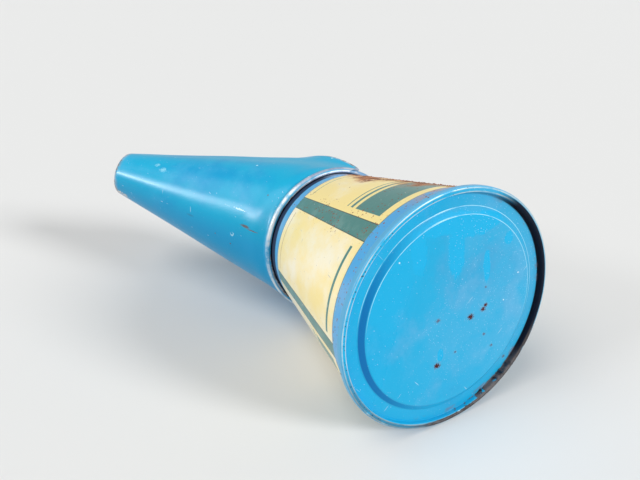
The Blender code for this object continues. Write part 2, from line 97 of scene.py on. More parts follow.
def feed(tree, socket, value):
    """Links a node's output to an input, or sets the input itself; colours get their alpha here."""
    if isinstance(value, bpy.types.NodeSocket):
        tree.links.new(value, socket)
    else:
        socket.default_value = (*value, 1) if socket.type == "RGBA" else value


def place(tree, kind, links=None, **settings):
    """The outputs of a new shader node, its properties set and the inputs named in links fed."""
    made = tree.nodes.new("ShaderNode" + kind)
    for key, value in settings.items():
        setattr(made, key, value)
    for key, value in (links or {}).items():
        feed(tree, made.inputs[key], value)
    return made.outputs


def calc(tree, operation, *terms):
    """A Math node's output."""
    return place(tree, "Math", dict(enumerate(terms)), operation=operation)[0]


def fade(tree, value, start, end, low=0, high=1):
    """A smooth step from low to high as the value goes from start to end."""
    links = {"Value": value, "From Min": start, "From Max": end, "To Min": low, "To Max": high}
    return place(tree, "MapRange", links, interpolation_type="SMOOTHSTEP")[0]


world = bpy.data.worlds.new("pale room")
world.use_nodes = True
scene.world = world
room = world.node_tree
rays = place(room, "LightPath")
seen = calc(room, "MAXIMUM", rays["Is Camera Ray"], rays["Is Transmission Ray"])
unseen_strength = calc(room, "MULTIPLY_ADD", rays["Is Glossy Ray"], 0.22, 0.36)
backdrop = room.nodes["Background"].inputs
feed(room, backdrop["Color"], (0.86, 0.88, 0.9))
feed(room, backdrop["Strength"], calc(room, "MULTIPLY_ADD", seen, 0.5, unseen_strength))


# ---- Base plate ----
# A pressed tinplate end, painted blue: flat centre panel, a raised ring, a countersink, and a
# double seam folded over the body's foot. Rust spots and drips of old paint mark the panel.
def new_group(name, vectors, numbers):
    """A shader node group that puts out one mask: its tree, its inputs and where the mask goes."""
    tree = bpy.data.node_groups.new(name, "ShaderNodeTree")
    add = tree.interface.new_socket
    for socket in vectors:
        add(name=socket, in_out="INPUT", socket_type="NodeSocketVector")
    for socket, value in numbers.items():
        add(name=socket, in_out="INPUT", socket_type="NodeSocketFloat").default_value = value
    add(name="Mask", in_out="OUTPUT", socket_type="NodeSocketFloat")
    return tree, tree.nodes.new("NodeGroupInput").outputs, tree.nodes.new("NodeGroupOutput").inputs[0]


def cloudy(tree, vector, scale, detail, roughness=0.5):
    """Fractal noise round 0.5."""
    links = {"Vector": vector, "Scale": scale, "Detail": detail, "Roughness": roughness}
    return place(tree, "TexNoise", links)[0]


def in_frame(tree, vector, turn, size, centre=(0, 0, 0)):
    """Coordinates in a turned frame that has the size as its unit."""
    links = {"Vector": vector, "Location": centre, "Rotation": turn, "Scale": size}
    return place(tree, "Mapping", links, vector_type="TEXTURE")[0]


def speck_group():
    """Scattered round specks: Share of the cells hold one, up to Size of a cell in radius."""
    tree, given, mask = new_group("specks", ["Vector"], {"Scale": 500, "Share": 0.1, "Size": 0.3})
    cells = place(tree, "TexVoronoi", {"Vector": given["Vector"], "Scale": given["Scale"]})
    draw = place(tree, "SeparateColor", {0: cells["Color"]})
    radius = calc(tree, "MULTIPLY", given["Size"], calc(tree, "MULTIPLY_ADD", draw[1], 0.7, 0.3))
    inside = fade(tree, calc(tree, "DIVIDE", cells["Distance"], radius), 1, 0.6)
    held = calc(tree, "LESS_THAN", draw[0], given["Share"])
    feed(tree, mask, calc(tree, "MULTIPLY", inside, held))
    return tree


def patch_group():
    """Ragged patches of noise: Level sets how much is covered, Soft how wide their edges are."""
    tree, given, mask = new_group("patches", ["Vector"], {"Scale": 100, "Level": 0.6, "Soft": 0.03})
    cloud = cloudy(tree, given["Vector"], given["Scale"], 8, 0.62)
    top = calc(tree, "ADD", given["Level"], given["Soft"])
    feed(tree, mask, fade(tree, cloud, given["Level"], top))
    return tree


def mark_group():
    """One placed mark with a ragged edge: Size is its half length, half width and depth."""
    tree, given, mask = new_group(
        "mark", ["Vector", "Centre", "Turn", "Size"], {"Ragged": 0.5, "Soft": 0.25, "Grain": 1300})
    local = in_frame(tree, given["Vector"], given["Turn"], given["Size"], given["Centre"])
    ratio = place(tree, "VectorMath", {0: local}, operation="LENGTH")["Value"]
    rough = calc(tree, "SUBTRACT", cloudy(tree, given["Vector"], given["Grain"], 6), 0.5)
    stray = calc(tree, "MULTIPLY", rough, calc(tree, "MULTIPLY", given["Ragged"], 4))
    edge = calc(tree, "SUBTRACT", 1, given["Soft"])
    feed(tree, mask, fade(tree, calc(tree, "ADD", ratio, stray), 1, edge))
    return tree


specks, patches, mark = speck_group(), patch_group(), mark_group()


class Finish:
    """A material built up in layers, each covering what lies under it where its mask is white."""

    def __init__(self, name, colour, roughness, metallic=0, coat=0, shine=0.5):
        self.material = bpy.data.materials.new(name)
        self.material.use_nodes = True
        self.tree = self.material.node_tree
        self.shader = self.tree.nodes["Principled BSDF"].inputs
        self.now = {"Base Color": colour, "Roughness": roughness, "Metallic": metallic,
                    "Coat Weight": coat, "Coat Roughness": 0.2, "Specular IOR Level": shine}
        self.heights = []
        self.at = place(self.tree, "TexCoord")["Object"]
        self.xyz = place(self.tree, "SeparateXYZ", {0: self.at})

    def calc(self, operation, *terms):
        return calc(self.tree, operation, *terms)

    def fade(self, value, *span):
        return fade(self.tree, value, *span)

    def joined(self, operation, masks):
        """Several masks taken together, two at a time."""
        return reduce(lambda found, other: self.calc(operation, found, other), masks)

    def times(self, *masks):
        return self.joined("MULTIPLY", masks)

    def most(self, *masks):
        return self.joined("MAXIMUM", masks)

    def band(self, value, low, high, soft):
        """White where the value lies between low and high."""
        under_high = self.fade(value, high + soft, high - soft)
        return self.times(self.fade(value, low - soft, low + soft), under_high)

    def effect(self, group, **inputs):
        """The mask of a shared effect, laid over the piece in the row frame's metres."""
        inputs.setdefault("Vector", self.at)
        return place(self.tree, "Group", inputs, node_tree=group)[0]

    def patchy(self, scale, level, soft):
        return self.effect(patches, Scale=scale, Level=level, Soft=soft)

    def specked(self, scale, share, size):
        return self.effect(specks, Scale=scale, Share=share, Size=size)

    def streaks(self, turn, long, wide, share):
        """Short straight scratches along a turned Z, each at most as long and wide as given."""
        drawn = in_frame(self.tree, self.at, turn, (wide * 4, wide * 4, long))
        return self.effect(specks, Vector=drawn, Scale=1, Share=share, Size=0.32)

    def marks(self, rows, turn, **look):
        """Marks of one kind; each row has a centre and half sizes in mm, and may end in a turn."""
        found = []
        for row in rows:
            centre, half = [[length / 1000 for length in row[k:k + 3]] for k in (0, 3)]
            own_turn = row[6] if row[6:] else turn
            found.append(self.effect(mark, Centre=centre, Size=half, Turn=own_turn, **look))
        return self.most(*found)

    def layer(self, mask, colour=None, roughness=None, metallic=None, height=None, coat=None):
        """Covers what is there where the mask is white, or the product of several masks."""
        if isinstance(mask, tuple):
            mask = self.times(*mask)
        for key, value in zip(self.now, (colour, roughness, metallic, coat)):
            if value is not None:
                kind, under, result = ("RGBA", 6, 2) if key == "Base Color" else ("FLOAT", 2, 0)
                links = {0: mask, under: self.now[key], under + 1: value}
                self.now[key] = place(self.tree, "Mix", links, data_type=kind)[result]
        if height is not None:
            self.heights.append(self.calc("MULTIPLY", mask, height))

    def done(self, grain):
        """Joins the layers to the shader, over a fine grain as high as given; the material."""
        for key, value in self.now.items():
            feed(self.tree, self.shader[key], value)
        fine = self.calc("MULTIPLY", cloudy(self.tree, self.at, 260, 6), grain)
        links = {"Height": self.joined("ADD", self.heights + [fine]), "Distance": 1, "Strength": 1}
        feed(self.tree, self.shader["Normal"], place(self.tree, "Bump", links)[0])
        return self.material


BLUE = (0.003, 0.37, 0.645)
SCRATCHED_BLUE = (0.34, 0.6, 0.74)
PALE = (0.62, 0.7, 0.72)
RUST = (0.15, 0.052, 0.018)


def blue_paint(name, dust, scratch_turns, colour=BLUE, shaded_span=None):
    """Glossy blue enamel: uneven, hazed and dusted with fine pale specks, lightly scratched.
    Dust sets the haze; the last argument gives the y span where the blue deepens as painted shade."""
    paint = Finish(name, colour, 0.3, coat=0.14, shine=0.2)
    paint.layer(paint.patchy(22, 0.47, 0.25), (0.001, 0.29, 0.55))
    haze = paint.patchy(42, 0.44, 0.3)
    paint.layer(paint.fade(haze, 0, 1, 0, dust), (0.12, 0.42, 0.68), 0.36)
    if shaded_span:
        # Painted shade: the blue deepens across y towards the flank that faces down
        paint.layer(paint.fade(paint.xyz[1], *shaded_span, 0, 0.85), (0.001, 0.285, 0.57))
    fine = paint.specked(1100, 0.16, 0.3)
    paint.layer((fine, paint.fade(haze, 0, 1, 0.15, 0.75)), (0.32, 0.6, 0.76), 0.5)
    paint.layer(paint.specked(260, 0.02, 0.09), PALE, 0.5, height=-0.00002)
    for turn in scratch_turns:
        paint.layer(paint.streaks(turn, 0.009, 0.00016, 0.014), SCRATCHED_BLUE, 0.4, height=-0.00001)
    longer = paint.streaks(scratch_turns[0], 0.012, 0.0002, 0.005)
    paint.layer(longer, SCRATCHED_BLUE, 0.45, height=-0.00001)
    paint.layer(paint.specked(190, 0.022, 0.13), RUST, 0.8, height=0.00003)
    return paint


CHIME_RADIUS, SEAM_HEIGHT, PANEL_STANDOFF = 0.055, 0.0032, 0.0005
COUNTERSINK, SHEET, CLEARANCE = 0.0023, 0.0003, 0.0003
TURNS = 192


def arc(centre, radius, start, end, steps):
    """Points (r, z) along an arc, both ends included."""
    angles = [start + (end - start) * k / steps for k in range(steps + 1)]
    return [(centre[0] + radius * cos(a), centre[1] + radius * sin(a)) for a in angles]


def rounded(corners, size):
    """A polyline with its inner corners rounded, each in four steps."""
    path = [corners[0]]
    for before, corner, after in zip(corners, corners[1:], corners[2:]):
        corner = Vector(corner)
        a = corner + (Vector(before) - corner).normalized() * size
        b = corner + (Vector(after) - corner).normalized() * size
        for t in (0, 0.25, 0.5, 0.75, 1):
            path.append(tuple(a * (1 - t) ** 2 + corner * 2 * t * (1 - t) + b * t * t))
    return path + [corners[-1]]


def new_piece(name, points, faces, material, smooth_angle=40):
    """A mesh in the scene, smooth but for its edges sharper than the angle."""
    mesh = bpy.data.meshes.new(name)
    mesh.from_pydata([tuple(p) for p in points], [], faces)
    mesh.validate()
    mesh.shade_smooth()
    mesh.set_sharp_from_angle(angle=radians(smooth_angle))
    obj = bpy.data.objects.new(name, mesh)
    scene.collection.objects.link(obj)
    mesh.materials.append(material)
    return obj


def closed_grid(columns, rows):
    """The faces of a grid of points whose last column joins its first."""
    joins = [(step * rows, (step + 1) % columns * rows) for step in range(columns)]
    return [(a + k, b + k, b + k + 1, a + k + 1) for a, b in joins for k in range(rows - 1)]


def turned(name, profile, material, shape=None, turns=TURNS, cap=False):
    """A profile turned round Z; shape moves each point by its radius, turn and height."""
    if isinstance(turns, int):
        turns = [tau * step / turns for step in range(turns)]
    points = []
    for turn in turns:
        for r, z in profile:
            if shape:
                r, z = shape(r, turn, z)
            points.append((r * cos(turn), r * sin(turn), z))
    faces = closed_grid(len(turns), len(profile))
    if cap:
        faces.append([step * len(profile) for step in range(len(turns))][::-1])
    return new_piece(name, points, faces, material)


def thicken(obj, thickness, offset=0, inside=None):
    """Gives a sheet its thickness, half on each side unless offset, and may give its inside a finish."""
    solid = obj.modifiers.new("sheet", "SOLIDIFY")
    solid.thickness = thickness
    solid.offset = offset
    solid.use_even_offset = True
    solid.use_quality_normals = True
    if inside:
        obj.data.materials.append(inside)
        solid.material_offset = 1
    return solid


# The seam's five layers from the outside in, and the levels of the pressing
layer_pitch = SHEET + CLEARANCE
seam_layers = [CHIME_RADIUS - SHEET / 2 - k * layer_pitch for k in range(5)]
seam_centre = 2 * layer_pitch + SHEET / 2
seam_top = SEAM_HEIGHT - layer_pitch - SHEET / 2
panel_level = PANEL_STANDOFF + SHEET / 2
ledge_level = COUNTERSINK + SHEET / 2
LEDGE_WIDTH, STEP_WIDTH, PRESS_BEND, CREST_BEND = 0.0059, 0.0031, 0.0004, 0.0006
step_foot = seam_layers[4] - LEDGE_WIDTH
step_head = step_foot - STEP_WIDTH

base_profile = [(0.0001, panel_level)] + [(0.003 * k, panel_level) for k in range(1, 10)]
base_profile += rounded(
    [(0.03, panel_level), (step_head, panel_level), (step_foot, ledge_level),
     (seam_layers[4], ledge_level), (seam_layers[4], seam_centre)], PRESS_BEND)[:-1]
crest_in, crest_out = seam_layers[4] + CREST_BEND, seam_layers[0] - CREST_BEND
crest_level = seam_centre - 2 * layer_pitch + CREST_BEND
base_profile += arc((crest_in, crest_level), CREST_BEND, pi, pi * 1.5, 6)
base_profile += arc((crest_out, crest_level), CREST_BEND, pi * 1.5, tau, 6)
base_profile += arc((seam_layers[1], seam_top), layer_pitch, 0, pi, 8)
base_profile.append((seam_layers[2], seam_centre))


def base_wave(r, turn, z):
    """A thin pressed plate never lies quite flat."""
    share = max(0, 1 - r / step_head)
    lift = noise.noise(Vector((r * cos(turn), r * sin(turn), 0.3)) * 34)
    return r, z + 0.00012 * lift * min(1, share * 4)


plate = blue_paint("base_paint", 0.52, [(pi / 2, 0, 0.5), (pi / 2, 0, 2.1)])
level = place(plate.tree, "VectorMath", {0: plate.at, 1: (1, 1, 0)}, operation="MULTIPLY")
radius_here = place(plate.tree, "VectorMath", {0: level[0]}, operation="LENGTH")["Value"]


def along_base(x, y, *span):
    """A fade across the base, in a direction."""
    links = {0: plate.at, 1: (x, y, 0)}
    reach = place(plate.tree, "VectorMath", links, operation="DOT_PRODUCT")["Value"]
    return plate.fade(reach, *span)


def on_ring(low, high, soft):
    """White between two radii."""
    return plate.band(radius_here, low, high, soft)


MARK_Z, MARK_DEPTH = 0.5, 10


def flat_marks(rows, turn=0, **look):
    """Marks on the panel; each row has a centre and half sizes in mm."""
    rows = [(x, y, MARK_Z, long, wide, MARK_DEPTH) for x, y, long, wide in rows]
    return plate.marks(rows, (0, 0, turn), **look)


drips = flat_marks([
    (-28.5, -24.5, 12, 4.6), (-9.5, -27.5, 14, 5), (10.5, -22.5, 9.2, 2.2), (18, -36.2, 3.6, 3),
    (0.5, 19.2, 3.6, 2), (-19, -37, 5, 16), (-1, -40, 6, 15)
], atan2(0.919, 0.393), Ragged=0.16, Soft=0.3, Grain=330)

# Haze and dust over the panel, thinner on its left and over the drips
left_side = plate.band(plate.xyz[0], -0.07, -0.026, 0.01)
thinner = plate.fade(plate.xyz[1], 0.034, 0.014, 0.3, 1)
dulled = plate.times(along_base(0.9, -0.05, -0.024, 0), thinner, plate.patchy(90, 0.18, 0.4))
plate.layer(plate.fade(dulled, 0, 1, 0, 0.22), (0.14, 0.42, 0.66), 0.4)
clean = plate.most(drips, plate.fade(left_side, 0, 1, 0, 0.6))
plate.layer(clean, (0.001, 0.4, 0.71), 0.22)
plate.layer((plate.specked(900, 0.22, 0.26), 0.6), (0.33, 0.6, 0.78), 0.5)
dust = plate.specked(1350, 0.4, 0.36)
plate.layer((dust, plate.fade(dulled, 0, 1, 0.05, 0.6)), (0.33, 0.64, 0.82), 0.5)

# The sloping step: painted shade, a darker blue, on one side of it; on the other side its two
# bends carry pale painted highlight lines, a little rubbed
on_slope = on_ring(step_head + PRESS_BEND, step_foot - PRESS_BEND, 0.00015)
# Painted shade: the slope darkens towards the side that faces away from the light
plate.layer((on_slope, along_base(-0.9, 0.44, 0.012, 0.046)), (0, 0.165, 0.44))
plate.layer(on_slope, roughness=0.55, coat=0)
LINE_HALF, LINE_SOFT = 0.00012, 0.00008
# Painted highlight: pale lines along both bends of the step, on one side, broken in patches
bend_lines = plate.most(*[on_ring(r - LINE_HALF, r + LINE_HALF, LINE_SOFT) for r in (step_head, step_foot)])
highlight_side = along_base(-0.1, -0.99, -0.012, 0.014)
plate.layer((bend_lines, highlight_side, plate.patchy(60, 0.3, 0.2)), (0.38, 0.74, 0.88), 0.3)

# Rust spots, each with a halo, four of them darker than the rest; and three chips
rust_spots = [(-7.2, 3.5, 1.2), (11, 0.9, 1.9), (17, -3.1, 1.5), (17.7, -5.1, 1.2), (0.6, 24.3, 1.9),
              (8.6, 17.6, 0.8), (23, 8.7, 0.9), (30.1, 14, 0.9), (14.2, -13.2, 0.7), (43.6, 20.6, 1.1)]


def rust_marks(spots, factor, **look):
    return flat_marks([(x, y, size * factor, size * 0.8 * factor) for x, y, size in spots], **look)


spotty = plate.fade(plate.patchy(1300, 0.45, 0.1), 0, 1, 0.1, 0.9)
plate.layer((rust_marks(rust_spots, 1.6, Ragged=0.9, Soft=0.7), spotty), (0.26, 0.19, 0.25), 0.5)
for some, depth in ((rust_spots[1:5], 1), (rust_spots[:1] + rust_spots[5:], 0.55)):
    pits = rust_marks(some, 0.85, Ragged=0.85, Grain=1900)
    plate.layer((pits, depth), (0.065, 0.012, 0.01), 0.85, height=0.00004, coat=0)
chips = [(x, y, 0.4, 0.4) for x, y in ((-36.4, -19.3), (28, -8.1), (31.2, -21.5))]
plate.layer(flat_marks(chips, Ragged=0.3), (0.6, 0.78, 0.85), 0.5)

# The crest that the jug stands on: its two bends rubbed, and dirt lodged along it
WALL_FOOT, OUTER_BEND, OUTER_FACE, OUTER_EDGE = 0.0526, 0.0541, 0.0546, 0.0549
low_down = plate.fade(plate.xyz[2], 0.0007, 0.0002)
crest_edges = plate.most(on_ring(WALL_FOOT, 0.053, 0.00012), on_ring(OUTER_BEND, OUTER_FACE, 0.00012))
plate.layer((low_down, crest_edges, plate.patchy(70, 0.34, 0.25)), (0.48, 0.64, 0.7), 0.4, 0.3)
crest_dirt = plate.times(low_down, plate.specked(950, 0.22, 0.26))
plate.layer((crest_dirt, on_ring(WALL_FOOT, CHIME_RADIUS, 0.0002)), (0.045, 0.022, 0.014), 0.85)

# Painted shade, black and mixed with grime, on the countersink's inner wall on one side;
# lower down, grime along the crest
shade_and_grime_side = along_base(0.86, 0.06, -0.004, 0.012)
low_side = plate.fade(plate.xyz[1], 0.012, 0.03)
bared = plate.calc("MULTIPLY_ADD", plate.patchy(260, 0.35, 0.3), 0.018, plate.xyz[1])
inside_edge = plate.fade(bared, 0.032, 0.064, 0.0512, 0.0532)
past_edge = plate.fade(plate.calc("SUBTRACT", radius_here, inside_edge), -0.0002, 0.0003)
inner_wall = plate.times(past_edge, plate.fade(radius_here, OUTER_BEND, 0.0537))
shade_and_grime_patches = plate.patchy(60, 0.22, 0.16)
# Painted shade: the inner wall turns black on this side, with grime in it
plate.layer((inner_wall, shade_and_grime_patches, shade_and_grime_side), (0.004, 0.008, 0.02), 0.9, coat=0)
# Painted highlight: a thin pale line along the crest's outer edge on the same side
rim_edge_highlight = plate.times(on_ring(OUTER_BEND, OUTER_EDGE, 0.0002), shade_and_grime_side, low_down)
plate.layer((rim_edge_highlight, 0.8), (0.38, 0.5, 0.56), 0.38, 0.3)
greasy = plate.most(along_base(0.707, 0.707, 0.036, 0.045), along_base(-0.3, 0.95, 0.034, 0.05, 0, 0.55))
low_crest = plate.times(on_ring(WALL_FOOT, 0.0547, 0.00015), low_down, greasy)
plate.layer((low_crest, plate.patchy(180, 0.26, 0.2)), (0.06, 0.052, 0.052), 0.85, 0, coat=0)
crumbs = plate.times(inner_wall, shade_and_grime_side, plate.specked(520, 0.22, 0.3))
plate.layer((crumbs, low_side), (0.21, 0.11, 0.06), 0.9, height=0.0001)
greyed = (inner_wall, low_side, shade_and_grime_side, plate.patchy(240, 0.38, 0.16))
plate.layer(greyed, (0.13, 0.12, 0.125), 0.8)

# Painted shade in the crevice at the wall's foot on the clean side, a dark line broken into
# specks; dirt on the ledge, and the duller outside
left_crevice_shade = plate.times(low_down, on_ring(0.0532, 0.0539, 0.00012), along_base(-0.95, 0.25, 0.015, 0.04))
plate.layer((left_crevice_shade, plate.specked(1100, 0.6, 0.5)), (0.01, 0.05, 0.1), 0.8, coat=0)
ledge_dirt = plate.times(on_ring(0.05, 0.0518, 0.0003), shade_and_grime_side, plate.patchy(150, 0.5, 0.1))
plate.layer((ledge_dirt, 0.5), (0.17, 0.13, 0.17), 0.8)
outside = plate.fade(radius_here, OUTER_FACE, OUTER_EDGE)
plate.layer(outside, (0.11, 0.4, 0.64), 0.34)
plate.layer((outside, plate.specked(420, 0.14, 0.24)), (0.2, 0.09, 0.07), 0.8)
base = turned("base_plate_pressing", base_profile, plate.done(0.0001), base_wave, cap=True)
thicken(base, SHEET)
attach(base, "root")
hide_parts("base_plate")


# ---- Body ----
# A tapered wall of printed tinplate: cream panels on a teal label between two bare blue bands.
# Its foot is hooked into the base's seam, and its top edge is curled round the rim wire.
RIM_HEIGHT, RIM_RADIUS, WIRE_RADIUS = 0.1013, 0.0405, 0.001
curl_radius = WIRE_RADIUS + CLEARANCE + SHEET / 2
wrap_radius = curl_radius + SHEET / 2 + CLEARANCE + SHEET
taper_run, taper_rise = seam_layers[3] - RIM_RADIUS, RIM_HEIGHT - seam_top
slope = asin(curl_radius / hypot(taper_run, taper_rise)) + atan2(taper_run, taper_rise)
wall_top = (RIM_RADIUS - curl_radius * cos(slope), RIM_HEIGHT - curl_radius * sin(slope))


def wall_radius(z):
    """Radius of the wall's middle layer at a height."""
    return seam_layers[3] + (wall_top[0] - seam_layers[3]) * (z - seam_top) / (wall_top[1] - seam_top)


body_profile = [(seam_layers[1], seam_top)]
body_profile += arc((seam_layers[2], seam_centre), layer_pitch, 0, -pi, 8)
WALL_STEPS = 28
for k in range(WALL_STEPS):
    z = seam_top + (wall_top[1] - seam_top) * k / WALL_STEPS
    body_profile.append((wall_radius(z), z))
body_profile += arc((RIM_RADIUS, RIM_HEIGHT), curl_radius, pi + slope, radians(-114), 20)


def smooth(t):
    """A smooth step from 0 to 1, level outside."""
    t = min(1, max(0, t))
    return t * t * (3 - 2 * t)


FOLD_HALF, FOLD_DEPTH, FOLD_INSET, FOLD_SWEEP, MEAN_RADIUS = 0.0025, 0.0007, 0.003, 0.075, 0.045
fold_stops = (-0.0008, -0.0004, -0.0002, 0, 0.0002, 0.0005)
fold_turns = [0] + [sign * (FOLD_HALF + stop) / MEAN_RADIUS for sign in (-1, 1) for stop in fold_stops]
even_turns = [tau * k / TURNS for k in range(TURNS)]
body_turns = [turn for turn in even_turns if cos(turn) < cos(FOLD_SWEEP)]
body_turns = sorted([turn % tau for turn in fold_turns] + body_turns)


def body_wave(r, turn, z):
    """Shallow dents and waves of the wall, and the ridge of the locked seam down its back."""
    high = RIM_HEIGHT - 0.004
    if z < SEAM_HEIGHT + 0.001 or z > high:
        return r, z
    ease = min(1, (z - SEAM_HEIGHT) / 0.02, (high - z) / 0.02)
    here = Vector((r * cos(turn), r * sin(turn), z))
    aside = abs(here.y) - FOLD_HALF if here.x > 0 else 1
    ridge = 0.00016 * smooth(-aside / 0.0004) - 0.00012 * smooth(1 - abs(aside - 0.0001) / 0.0003)
    return r + ease * (0.00016 * noise.noise(here * 38) + ridge), z


CREAM = (0.96, 0.775, 0.3)
SHEEN_AND_FADE_CREAM = (0.965, 0.885, 0.665)
TEAL = (0.055, 0.215, 0.195)
BAND_BLUE = (0.06, 0.375, 0.72)
LABEL = (0.012, 0.0885)
EDGE, EDGE_DEGREES, OUTLINE, OUTLINE_DEGREES = 0.00008, 0.1, 0.00035, 0.45

# LABEL holds the label's two heights. Turns are in degrees from 17 on, so that no field of the
# print crosses their start.
label = Finish("printed_tinplate", BAND_BLUE, 0.32, coat=0.25)
turn_raw = label.calc("DEGREES", label.calc("ARCTAN2", label.xyz[1], label.xyz[0]))
azimuth = label.calc("WRAP", turn_raw, 377, 17)
height = label.xyz[2]


def panel(left, right, low, high):
    """A field of the print, between two turns and two heights."""
    across = label.band(azimuth, left, right, EDGE_DEGREES)
    return label.times(across, label.band(height, low, high, EDGE))


label.layer(label.patchy(55, 0.45, 0.25), (0.14, 0.4, 0.69), 0.4)
whole = panel(17, 345, *LABEL)
label.layer(whole, TEAL, 0.34)
label.layer((whole, label.patchy(120, 0.45, 0.2)), (0.11, 0.27, 0.245))
# Each cream field is paled in patches: partly faded print, partly painted sheen
for left, right, sheen_level in ((25, 149, 0.37), (157.1, 206, 0.36), (216, 337, 0.5)):
    turns = (left - OUTLINE_DEGREES, right + OUTLINE_DEGREES)
    label.layer(panel(*turns, LABEL[0] - OUTLINE, LABEL[1] + OUTLINE), (0.03, 0.055, 0.05))
    field = panel(left, right, *LABEL)
    label.layer(field, CREAM, 0.3)
    label.layer((field, label.patchy(30, sheen_level, 0.25)), SHEEN_AND_FADE_CREAM)
label.layer(panel(159.5, 202, 0.0172, 0.019), TEAL)
label.layer(panel(160.5, 203, 0.0838, 0.0842), (0.42, 0.25, 0.11))
for left, right in ((29, 145), (220, 333)):
    for low, high in ((0.0165, 0.037), (0.0395, 0.0415), (0.044, 0.0448), (0.0835, 0.084)):
        label.layer(panel(left, right, low, high), TEAL)

# Rust has run down one side in a wandering column, and flecks the print's edges beside it
drift = label.calc("SUBTRACT", cloudy(label.tree, label.at, 30, 4), 0.5)
wandering = label.calc("MULTIPLY_ADD", drift, 54, azimuth)
column = label.most(
    label.band(wandering, 253, 279, 5), label.times(label.band(wandering, 44, 58, 8), 0.6))
stained = label.band(wandering, 252, 288, 8)
label.layer((stained, label.patchy(110, 0.45, 0.14)), (0.76, 0.4, 0.19), 0.6, coat=0.05)
rusty = label.patchy(95, 0.36, 0.14)
label.layer((column, rusty), (0.47, 0.19, 0.075), 0.75, height=0.00003, coat=0)
label.layer((column, label.patchy(220, 0.47, 0.08)), (0.19, 0.07, 0.028), 0.85, height=0.00005)
flecks = label.specked(760, 0.75, 0.44)
strip = label.most(
    label.band(azimuth, 203, 222, 3), label.times(label.fade(height, 0.0125, 0.0115), 0.8),
    label.times(panel(219, 268, 0.0165, 0.037), 0.75))
band_scuff = label.times(
    label.band(wandering, 232, 264, 8), label.fade(height, 0.0124, 0.0118),
    label.patchy(190, 0.38, 0.14))
label.layer(band_scuff, (0.36, 0.33, 0.38), 0.6, coat=0.05)
label.layer((band_scuff, flecks), (0.33, 0.13, 0.07), 0.8, height=0.00003)
clustered = (flecks, strip, label.patchy(110, 0.47, 0.05))
label.layer(clustered, (0.28, 0.085, 0.045), 0.8, height=0.00004, coat=0)
label.layer(label.specked(230, 0.045, 0.16), (0.36, 0.2, 0.1), 0.7)
for turn, tone in (((0.1, 0.2, 0), 0.55), ((1.2, 0.4, 0), 0.55), ((0.5, -0.9, 0), 0.45)):
    scratches = label.streaks(turn, 0.01, 0.00016, 0.03)
    label.layer(scratches, (tone, tone, tone * 0.9), 0.5, height=-0.00001)

# Grime above the seam; painted shadow, dark navy, on the body's top under the hood's roll,
# scuffed in one place
label.layer((label.fade(height, 0.0058, 0.0036), label.patchy(130, 0.42, 0.2)), (0.09, 0.11, 0.12), 0.7)
shade_foot = label.fade(azimuth, 160, 196, 0.0928, 0.0941)
neck_shadow_band = label.fade(label.calc("SUBTRACT", height, shade_foot), 0, 0.001)
# Painted shadow under the hood's roll
label.layer(neck_shadow_band, (0, 0.018, 0.065), 0.9, coat=0)
label.layer((neck_shadow_band, label.band(azimuth, 244, 292, 7)), (0.21, 0.3, 0.45), 0.5)
body = turned("body_wall", body_profile, label.done(0.00008), body_wave, body_turns)

tin, lined = [Finish(name, (0.56, 0.55, 0.52), 0.36, metallic=1) for name in ("bare_tin", "body_inside")]
for plain in (tin, lined):
    plain.layer(plain.patchy(90, 0.42, 0.2), (0.4, 0.38, 0.34), 0.5)
    plain.layer(plain.patchy(60, 0.56, 0.08), RUST, 0.8, 0.1, height=0.00004)
inside_tin = tin.done(0.00006)
over_roll = lined.fade(lined.xyz[2], 0.0993, 0.0999)
lined.layer(over_roll, (0.14, 0.3, 0.5), 0.32, 0.1)
lined.layer((over_roll, lined.patchy(150, 0.46, 0.12)), (0.36, 0.4, 0.47), 0.36, 0.4)
thicken(body, SHEET, inside=lined.done(0.00006))
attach(body, "root")
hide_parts("body_shell")


def swept(name, rings, material, smooth_angle=40):
    """A solid through closed rings of equal count, its two ends closed."""
    count = len(rings[0])
    faces = [tuple(range(count))[::-1], tuple(len(rings) * count - count + k for k in range(count))]
    for ring in range(len(rings) - 1):
        for k in range(count):
            a, b = ring * count + k, ring * count + (k + 1) % count
            faces.append((a, b, b + count, a + count))
    return new_piece(name, [p for ring in rings for p in ring], faces, material, smooth_angle)


FOLD_STEPS = 40
fold_low, fold_high = SEAM_HEIGHT + FOLD_INSET, RIM_HEIGHT - wrap_radius - FOLD_INSET
half_fold = [(1, -0.1), (0.98, 0.6), (0.9, 1), (0.3, 1.04)]
fold_rings = []
for step in range(FOLD_STEPS + 1):
    z = fold_low + (fold_high - fold_low) * step / FOLD_STEPS
    flat = min(1, 0.3 + 0.35 * min(step, FOLD_STEPS - step))
    ring = []
    for across, depth in [(-y, depth) for y, depth in half_fold] + half_fold[::-1]:
        y = across * FOLD_HALF
        x = sqrt((wall_radius(z) - SHEET / 2) ** 2 - y * y) - depth * FOLD_DEPTH * flat
        ring.append((x, y, z))
    fold_rings.append(ring)
fold = swept("body_seam_fold", fold_rings, inside_tin)
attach(fold, "root")
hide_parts("body_shell")

